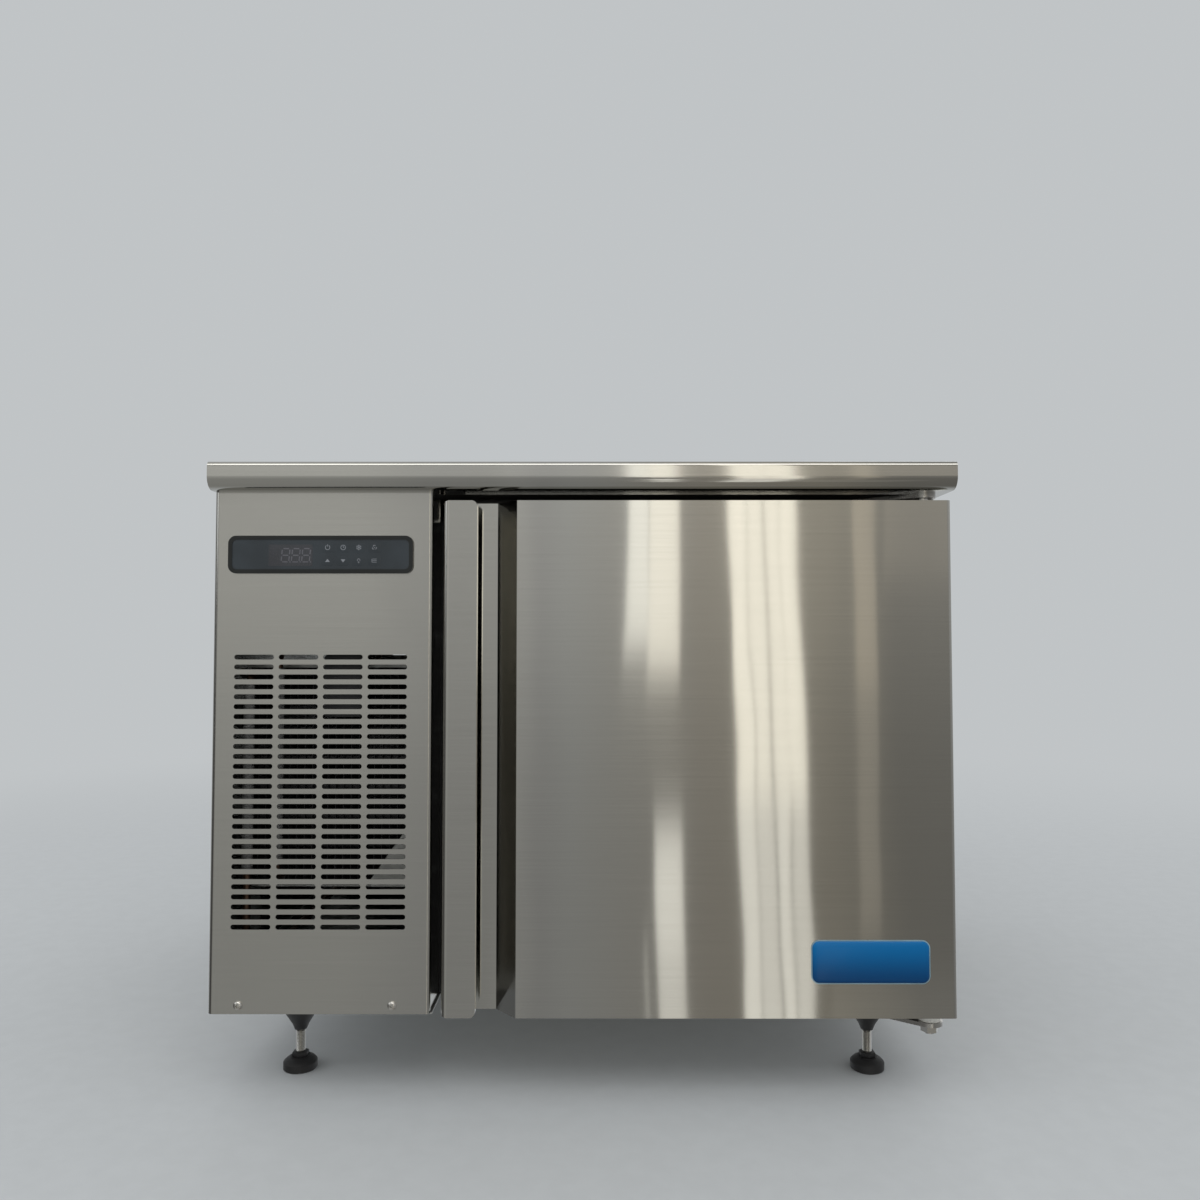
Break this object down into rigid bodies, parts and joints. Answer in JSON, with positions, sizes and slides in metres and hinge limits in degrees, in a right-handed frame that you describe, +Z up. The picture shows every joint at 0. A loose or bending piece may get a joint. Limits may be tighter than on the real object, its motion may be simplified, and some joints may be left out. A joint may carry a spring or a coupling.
{
  "type": "blast chiller",
  "caption": "Counter-height blast chiller with a slotted refrigeration bay on the left, an insulated side-hung door on the right, tray racks inside and levelling legs.",
  "frame": {"origin": "on the floor under the centre of the worktop", "axes": "+X to the right as seen from the front, +Y from the front to the rear, +Z up"},
  "size_m": [0.75, 0.74, 0.642],
  "materials": {
    "satin_steel": "satin brushed stainless steel",
    "bright_steel": "finely brushed stainless steel",
    "screw_steel": "bright plated steel",
    "galvanised": "dull galvanised sheet",
    "board": "plain stiffening board, hidden",
    "foam": "rigid polyurethane foam, hidden",
    "grey_plastic": "matte grey plastic",
    "black_plastic": "matte black plastic",
    "bezel_plastic": "semi-gloss dark plastic rim",
    "face_film": "smooth blue-grey printed film",
    "black_paint": "black enamel",
    "green_paint": "green enamel",
    "coil_black": "black painted fins and tubes",
    "aluminium": "bare aluminium fins",
    "brass": "machined brass",
    "copper": "bare copper tube",
    "pipe_foam": "copper tube in black foam sleeve",
    "rubber": "black rubber",
    "seal_rubber": "dark grey soft magnetic seal",
    "foot_black": "black plastic foot on a steel stem",
    "nylon": "pale nylon"
  },
  "bodies": {
    "cabinet": {"worktop": "bright_steel", "worktop_core": "board", "front_panel": "satin_steel", "panel_screws": "screw_steel", "left_side_panel": "satin_steel", "rear_grille": "satin_steel", "base_tray": "galvanised", "cell_outer_casing": "satin_steel", "cell_insulation": "foam", "cell_liner": "bright_steel", "cell_front_frame": "bright_steel", "breaker_strip": "grey_plastic", "door_switch": "black_plastic", "controller_bezel": "bezel_plastic", "controller_face": "face_film", "controller_body": "black_plastic", "electrics_box": "galvanised", "electrics_cover": "galvanised", "supply_terminal_box": "grey_plastic", "cable_gland": "black_plastic", "compressor": "black_paint", "compressor_mounts": "rubber", "compressor_terminal_cover": "black_plastic", "condenser_coil": "coil_black", "condenser_frame": "galvanised", "condenser_shroud": "galvanised", "condenser_fan_motor": "black_paint", "liquid_receiver": "black_paint", "filter_drier": "green_paint", "expansion_valve": "brass", "discharge_pipe": "copper", "liquid_pipes": "copper", "suction_pipe": "pipe_foam", "evaporator_coil": "aluminium", "evaporator_fan_panel": "bright_steel", "evaporator_fan_motor": "black_paint", "evaporator_fan_guard": "screw_steel", "rack_posts_left": "bright_steel", "rack_posts_right": "bright_steel", "tray_runners_left": "bright_steel", "tray_runners_right": "bright_steel", "drain_fitting": "black_plastic", "air_probe": "screw_steel", "hinge_plate_top": "screw_steel", "hinge_plate_bottom": "screw_steel", "hinge_pins": "screw_steel", "leg_sockets": "black_plastic"},
    "door": {"door_skin": "satin_steel", "door_handle": "bright_steel", "door_insulation": "foam", "door_liner": "bright_steel", "door_gasket": "seal_rubber", "door_bushes": "nylon"},
    "condenser_fan": {"condenser_fan_blades": "black_plastic"},
    "evaporator_fan": {"evaporator_fan_blades": "black_plastic"},
    "leg_front_left": {"foot_front_left": "foot_black"},
    "leg_front_right": {"foot_front_right": "foot_black"},
    "leg_rear_left": {"foot_rear_left": "foot_black"},
    "leg_rear_right": {"foot_rear_right": "foot_black"}
  },
  "joints": [
    {"name": "door_hinge", "type": "hinge", "parent": "cabinet", "child": "door", "pos_m": [0.354, -0.325, 0.346], "axis": [0, 0, 1], "range_deg": [0, 105]},
    {"name": "condenser_fan_spin", "type": "hinge", "parent": "cabinet", "child": "condenser_fan", "pos_m": [-0.2645, -0.248, 0.3225], "axis": [0, -1, 0], "continuous": true},
    {"name": "evaporator_fan_spin", "type": "hinge", "parent": "cabinet", "child": "evaporator_fan", "pos_m": [-0.032, -0.13, 0.352], "axis": [1, 0, 0], "continuous": true},
    {"name": "front_left_levelling", "type": "slide", "parent": "cabinet", "child": "leg_front_left", "axis": [0, 0, -1], "range_m": [0, 0.02]},
    {"name": "front_right_levelling", "type": "slide", "parent": "cabinet", "child": "leg_front_right", "axis": [0, 0, -1], "range_m": [0, 0.02]},
    {"name": "rear_left_levelling", "type": "slide", "parent": "cabinet", "child": "leg_rear_left", "axis": [0, 0, -1], "range_m": [0, 0.02]},
    {"name": "rear_right_levelling", "type": "slide", "parent": "cabinet", "child": "leg_rear_right", "axis": [0, 0, -1], "range_m": [0, 0.02]}
  ]
}
